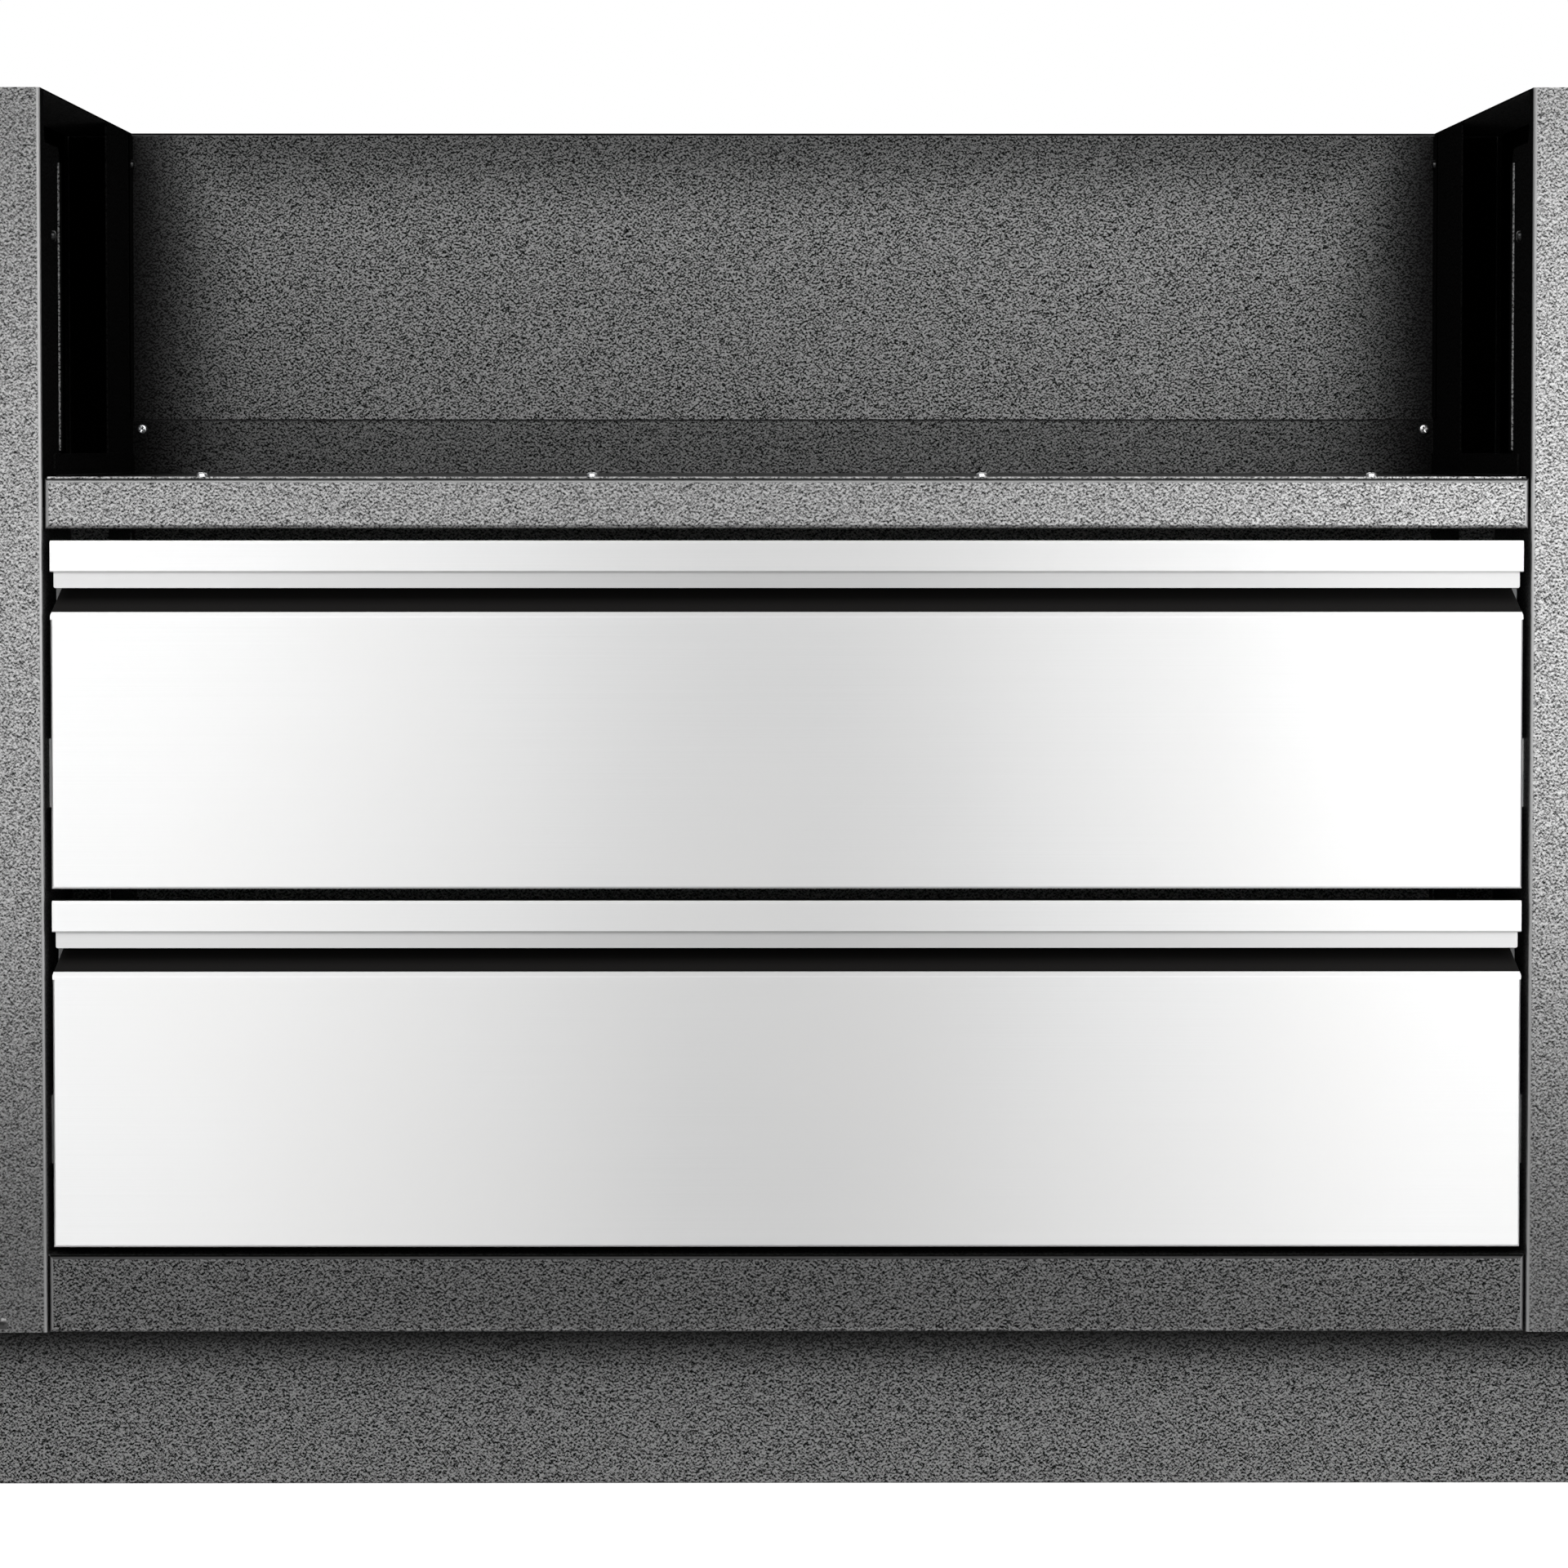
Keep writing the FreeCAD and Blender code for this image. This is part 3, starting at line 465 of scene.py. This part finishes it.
SCREW_ZINC = plating("screw_zinc", low=0.66, high=0.84)
SCREW_BLACK = plating("screw_black", low=0.02, high=0.05)
RIVET_BLACK = plating("rivet_black", low=0.05, high=0.11)
HEAD_RADIUS = 3.9 * MM
HEAD_RISE = 2.8 * MM
WALL_SHARE = 0.62
WALL_POWER = 14
RECESS_REACH = 2.3 * MM
RECESS_HALF = 0.55 * MM
RECESS_DEPTH = 1.7 * MM
RECESS_TAPER = 0.55
RIVET_RADIUS = 3.8 * MM
RIVET_RISE = 1.4 * MM
RIVET_POWER = 2.4
MANDREL = 1.2 * MM
MANDREL_SHARE = 0.35
SEGMENTS = 48
RINGS = 14
RING_POWER = 0.8
SHARP_DEGREES = 40


def recess(x, y):
    """How far the cross recess cuts below the crown at one point of a head."""
    across = min(abs(x), abs(y))
    along = max(abs(x), abs(y))
    if across > RECESS_HALF or along > RECESS_REACH:
        return 0.0
    return RECESS_DEPTH * (1 - RECESS_TAPER * along / RECESS_REACH)


def flat(x, y):
    """No recess."""
    return 0.0


def pan_height(radius):
    """Crown of a pan head over its seat."""
    share = min(radius / HEAD_RADIUS, 1.0)
    wall = (1 - share ** WALL_POWER) ** 0.5
    return HEAD_RISE * (WALL_SHARE * wall + (1 - WALL_SHARE) * (1 - share ** 2))


def rivet_height(radius):
    """Low dome of a blind rivet, sunk where the mandrel broke off."""
    if radius < MANDREL:
        return RIVET_RISE * MANDREL_SHARE
    share = min(radius / RIVET_RADIUS, 1.0)
    return RIVET_RISE * (1 - share ** RIVET_POWER)


def head_mesh(mesh, stand, radius, height, cut):
    """Adds one fastener head to a mesh, standing on its stand's own XY plane."""
    rings = []
    for step in range(1, RINGS + 1):
        reach = radius * (step / RINGS) ** RING_POWER
        ring = []
        for index in range(SEGMENTS):
            angle = 2 * math.pi * index / SEGMENTS
            x = reach * math.cos(angle)
            y = reach * math.sin(angle)
            ring.append(mesh.verts.new(stand @ Vector((x, y, height(reach) - cut(x, y)))))
        rings.append(ring)
    centre = mesh.verts.new(stand @ Vector((0, 0, height(0) - cut(0, 0))))
    for index in range(SEGMENTS):
        after = (index + 1) % SEGMENTS
        mesh.faces.new((centre, rings[0][index], rings[0][after]))
        for inner, outer in zip(rings, rings[1:]):
            mesh.faces.new((inner[index], outer[index], outer[after], inner[after]))
    mesh.faces.new(list(reversed(rings[-1])))


def heads(name, body, material, spots, radius, height, cut):
    """One piece of equal fastener heads; a spot is a place, the way the head faces and a turn."""
    mesh = bmesh.new()
    for place, outward, turn in spots:
        upright = Vector(outward).to_track_quat("Z", "Y").to_matrix().to_4x4()
        stand = Matrix.Translation(place) @ upright @ Matrix.Rotation(turn, 4, "Z")
        head_mesh(mesh, stand, radius, height, cut)
    data = bpy.data.meshes.new(name)
    mesh.to_mesh(data)
    mesh.free()
    for face in data.polygons:
        face.use_smooth = True
    data.materials.append(material)
    piece = bpy.data.objects.new(name, data)
    bpy.context.scene.collection.objects.link(piece)
    data.set_sharp_from_angle(angle=math.radians(SHARP_DEGREES))
    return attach(piece, body)


def screws(name, body, spots, black=False):
    """One piece of pan-head screws, zinc plated or black."""
    if black:
        slot, material = "hammered_paint", SCREW_BLACK
    else:
        slot, material = "zinc_slide", SCREW_ZINC
    return heads(name, body, material, spots, HEAD_RADIUS, pan_height, recess)


def row(count, pitch):
    """Places along a row, a pitch apart, with the middle of the row at zero."""
    return [(step - (count - 1) / 2) * pitch for step in range(count)]


DECK_SCREWS = 4
DECK_PITCH = 254 * MM
DECK_INSET = 14 * MM
UPTURN_INSET = 7 * MM
UPTURN_DROP = 7.5 * MM
FLANGE_MIDDLE = 12.5 * MM
FLANGE_SCREW_LEVEL = 894 * MM
RETURN_INSET = 66 * MM
RETURN_LEVEL = 824 * MM
LAP_SCREWS = 5
LAP_PITCH = 220 * MM
LAP_RISE = 15 * MM
RIVET_END = 6 * MM
RIVET_OUTWARD = 4 * MM
INNER_FRONT_EDGE = 5 * MM
INNER_FRONT_RISES = (3.8 * MM, 165 * MM)

# Turns of the cross recesses, in radians
DECK_TURN = 0.5
DECK_TURN_STEP = 0.9
UPTURN_TURN = 0.4
FLANGE_TURN = 0.3
RETURN_TURN = 0.7
LAP_TURN_STEP = 0.6
INNER_FRONT_TURN = 0.5

FRONT = (0, -1, 0)
REAR = (0, 1, 0)
UP = (0, 0, 1)
SIDES = (-1, 1)

screws("deck_screws", "cabinet", [
    ((x, DECK_FRONT + DECK_INSET, DECK_TOP), UP, DECK_TURN + DECK_TURN_STEP * step)
    for step, x in enumerate(row(DECK_SCREWS, DECK_PITCH))
])
screws("deck_upturn_screws", "cabinet", [
    ((side * (RETURN_FACE - UPTURN_INSET), DECK_UPTURN, DECK_RIM - UPTURN_DROP), FRONT, UPTURN_TURN * side)
    for side in SIDES
])
screws("back_flange_screws", "cabinet", [
    (
        (side * (RETURN_FACE - GAUGE), BACK_FLANGE + FLANGE_MIDDLE, FLANGE_SCREW_LEVEL),
        (-side, 0, 0),
        FLANGE_TURN,
    )
    for side in SIDES
], black=True)
screws("return_screws", "cabinet", [
    ((side * RETURN_FACE, POST_FRONT + RETURN_INSET, RETURN_LEVEL), (-side, 0, 0), RETURN_TURN)
    for side in SIDES
], black=True)
screws("lap_screws", "cabinet", [
    ((x, LAP_REAR, LAP_LOW + LAP_RISE), REAR, LAP_TURN_STEP * step)
    for step, x in enumerate(row(LAP_SCREWS, LAP_PITCH))
])
rivet_x = (POST_OUTER + RETURN_FACE) / 2 + RIVET_OUTWARD
heads("post_rivets", "cabinet", RIVET_BLACK, [
    ((side * rivet_x, POST_FRONT, level), FRONT, 0.0)
    for side in SIDES
    for level in (POST_FOOT + RIVET_END, POST_TOP - RIVET_END)
], RIVET_RADIUS, rivet_height, flat)
for drawer in ("upper", "lower"):
    low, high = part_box(f"{drawer}_drawer_inner_front")
    spots = [
        ((side * (high.x - INNER_FRONT_EDGE), low.y + GAUGE, low.z + rise), REAR, INNER_FRONT_TURN * side)
        for side in SIDES
        for rise in INNER_FRONT_RISES
    ]
    screws(f"{drawer}_front_screws", f"{drawer}_drawer", spots)


# Lamps


def area_light(name, place, aim, size, radiance):
    """A soft box that lights and reflects but isn't itself in view."""
    data = bpy.data.lights.new(name, "AREA")
    data.shape = "RECTANGLE"
    data.size, data.size_y = size
    data.energy = radiance * math.pi * size[0] * size[1]
    lamp = bpy.data.objects.new(name, data)
    bpy.context.scene.collection.objects.link(lamp)
    lamp.location = place
    lamp.rotation_mode = "QUATERNION"
    lamp.rotation_quaternion = (Vector(aim) - Vector(place)).to_track_quat("-Z", "Y")
    lamp.visible_camera = False


# Upright strips side by side before the front: middle across, width, foot and top in metres, radiance
STRIP_PLANE = -1.0
STRIPS = (
    ("outer_left_strip", -0.65, 0.50, 0.26, 0.81, 1.8),
    ("left_strip", -0.275, 0.25, 0.32, 0.86, 1.2),
    ("middle_strip", 0.0, 0.30, 0.42, 0.86, 1.05),
    ("right_strip", 0.275, 0.25, 0.30, 0.86, 1.55),
    ("outer_right_strip", 0.85, 0.90, 0.27, 0.93, 2.55),
)
for name, x, width, foot, top, radiance in STRIPS:
    place = Vector((x, STRIP_PLANE, (foot + top) / 2))
    area_light(name, place, place + Vector(REAR), (width, top - foot), radiance)

# Soft boxes at the sides, at the rear and above the front: place, point aimed at, size, radiance
SOFT_BOXES = (
    ("left_side_softbox", (-2.3, -0.3, 0.66), (-0.5, -0.3, 0.66), (2.3, 1.1), 1.4),
    ("right_side_softbox", (2.3, -0.3, 0.66), (0.5, -0.3, 0.66), (2.3, 1.1), 1.6),
    ("left_rear_softbox", (-0.9, 2.1, 0.66), (-0.4, 0.3, 0.66), (1.3, 1.1), 1.3),
    ("right_rear_softbox", (0.9, 2.1, 0.66), (0.4, 0.3, 0.66), (1.3, 1.1), 1.5),
    ("left_top_softbox", (-0.85, -1.7, 2.1), (-0.85, -0.3, 0.4), (1.2, 1.3), 7.1),
    ("middle_top_softbox", (0, -1.7, 2.1), (0, -0.3, 0.4), (0.5, 1.3), 3.2),
    ("right_top_softbox", (0.85, -1.7, 2.1), (0.85, -0.3, 0.4), (1.2, 1.3), 6.4),
)
for name, place, aim, size, radiance in SOFT_BOXES:
    area_light(name, place, aim, size, radiance)


# Backdrop and floor, with depths along Y and a reach from the middle, in metres

BEHIND = (0.45, 0.75)
ROOM_STRENGTH = 0.05
WHITE_STRENGTH = 1.0
FLOOR_HALF = 9.0
FLOOR_TONES = (0.46, 0.50)
FLOOR_ROUGHNESS = 0.9
FLOOR_SPECULAR = 0.1
CLOUD_SCALE = 1.3
CLOUD_DETAIL = 3.0
APRON_DEPTHS = (-0.90, -0.50)
APRON_TONES = (0.05, 0.07)
MIRROR_DEPTHS = (-0.30, 0.20)
MIRROR_SHARES = (0.1, 0.4)
GLOW_REACH = (0.60, 1.50)
GLOW_LEVELS = (0.62, 1.0)


def seen_share(tree, mirror_share):
    """1 where the camera looks straight at it, and a share of 1 in reflections and through glass."""
    path = add(tree, "ShaderNodeLightPath").outputs
    mirror = arithmetic(tree, "MAXIMUM", path["Is Glossy Ray"], path["Is Transmission Ray"])
    return arithmetic(tree, "MAXIMUM", path["Is Camera Ray"], product(tree, mirror, mirror_share))


def studio_world():
    """White backdrop to the camera; reflections see it behind the object and a dim room elsewhere."""
    world = bpy.data.worlds.new("studio")
    world.use_nodes = True
    tree = world.node_tree
    tree.nodes.clear()
    direction = add(tree, "ShaderNodeTexCoord").outputs["Generated"]
    seen = seen_share(tree, remap(tree, axes(tree, direction)["Y"], *BEHIND))
    room, white = (
        add(tree, "ShaderNodeBackground", {"Color": grey(1.0), "Strength": strength}).outputs["Background"]
        for strength in (ROOM_STRENGTH, WHITE_STRENGTH)
    )
    either = add(tree, "ShaderNodeMixShader", {0: seen, 1: room, 2: white})
    add(tree, "ShaderNodeOutputWorld", {"Surface": either.outputs["Shader"]})
    return world


def floor_material():
    """Pale studio floor that keeps the object's shadow and is white to the camera away from the object.

    The apron before the object is dark, so that it throws little light up on the fronts.
    """
    material, tree, shader, place = new_material("studio_floor")
    depth = axes(tree, place)["Y"]
    cloud = noise(tree, place, CLOUD_SCALE, CLOUD_DETAIL)
    dark, pale = (blend(tree, cloud, grey(low), grey(high)) for low, high in (APRON_TONES, FLOOR_TONES))
    reach = add(tree, "ShaderNodeVectorMath", {0: place}, operation="LENGTH").outputs["Value"]
    around = remap(tree, reach, *GLOW_REACH, *GLOW_LEVELS)
    apron = remap(tree, depth, *reversed(APRON_DEPTHS), *GLOW_LEVELS)
    seen = seen_share(tree, remap(tree, depth, *MIRROR_DEPTHS, *MIRROR_SHARES))
    feed(tree, shader, {
        "Base Color": blend(tree, remap(tree, depth, *APRON_DEPTHS), dark, pale),
        "Roughness": FLOOR_ROUGHNESS,
        "Specular IOR Level": FLOOR_SPECULAR,
        "Emission Color": grey(1.0),
        "Emission Strength": product(tree, seen, arithmetic(tree, "MAXIMUM", around, apron)),
    })
    return material


bpy.context.scene.world = studio_world()

floor_corners = [(x * FLOOR_HALF, y * FLOOR_HALF, 0.0) for x, y in ((-1, -1), (1, -1), (1, 1), (-1, 1))]
floor_mesh = bpy.data.meshes.new("studio_floor")
floor_mesh.from_pydata(floor_corners, [], [(0, 1, 2, 3)])
floor_mesh.materials.append(floor_material())
floor = bpy.data.objects.new("studio_floor", floor_mesh)
bpy.context.scene.collection.objects.link(floor)


# Camera: before the front, a little above the deck and tipped down; metres, degrees, sensor in millimetres

CAMERA_DISTANCE = 4.01
CAMERA_HEIGHT = 0.684
CAMERA_SIDE = -0.019
HALF_VIEW = 7.237
TIP = 3.10
PAN = 0.243
SENSOR = 36
camera_data = bpy.data.cameras.new("photo_camera")
camera_data.sensor_width = SENSOR
camera_data.lens = SENSOR / 2 / math.tan(math.radians(HALF_VIEW))
camera = bpy.data.objects.new("photo_camera", camera_data)
bpy.context.scene.collection.objects.link(camera)
camera.location = (CAMERA_SIDE, POST_FRONT - CAMERA_DISTANCE, CAMERA_HEIGHT)
camera.rotation_euler = (math.radians(90 - TIP), 0, -math.radians(PAN))
bpy.context.scene.camera = camera

bpy.context.scene.view_settings.view_transform = "Standard"
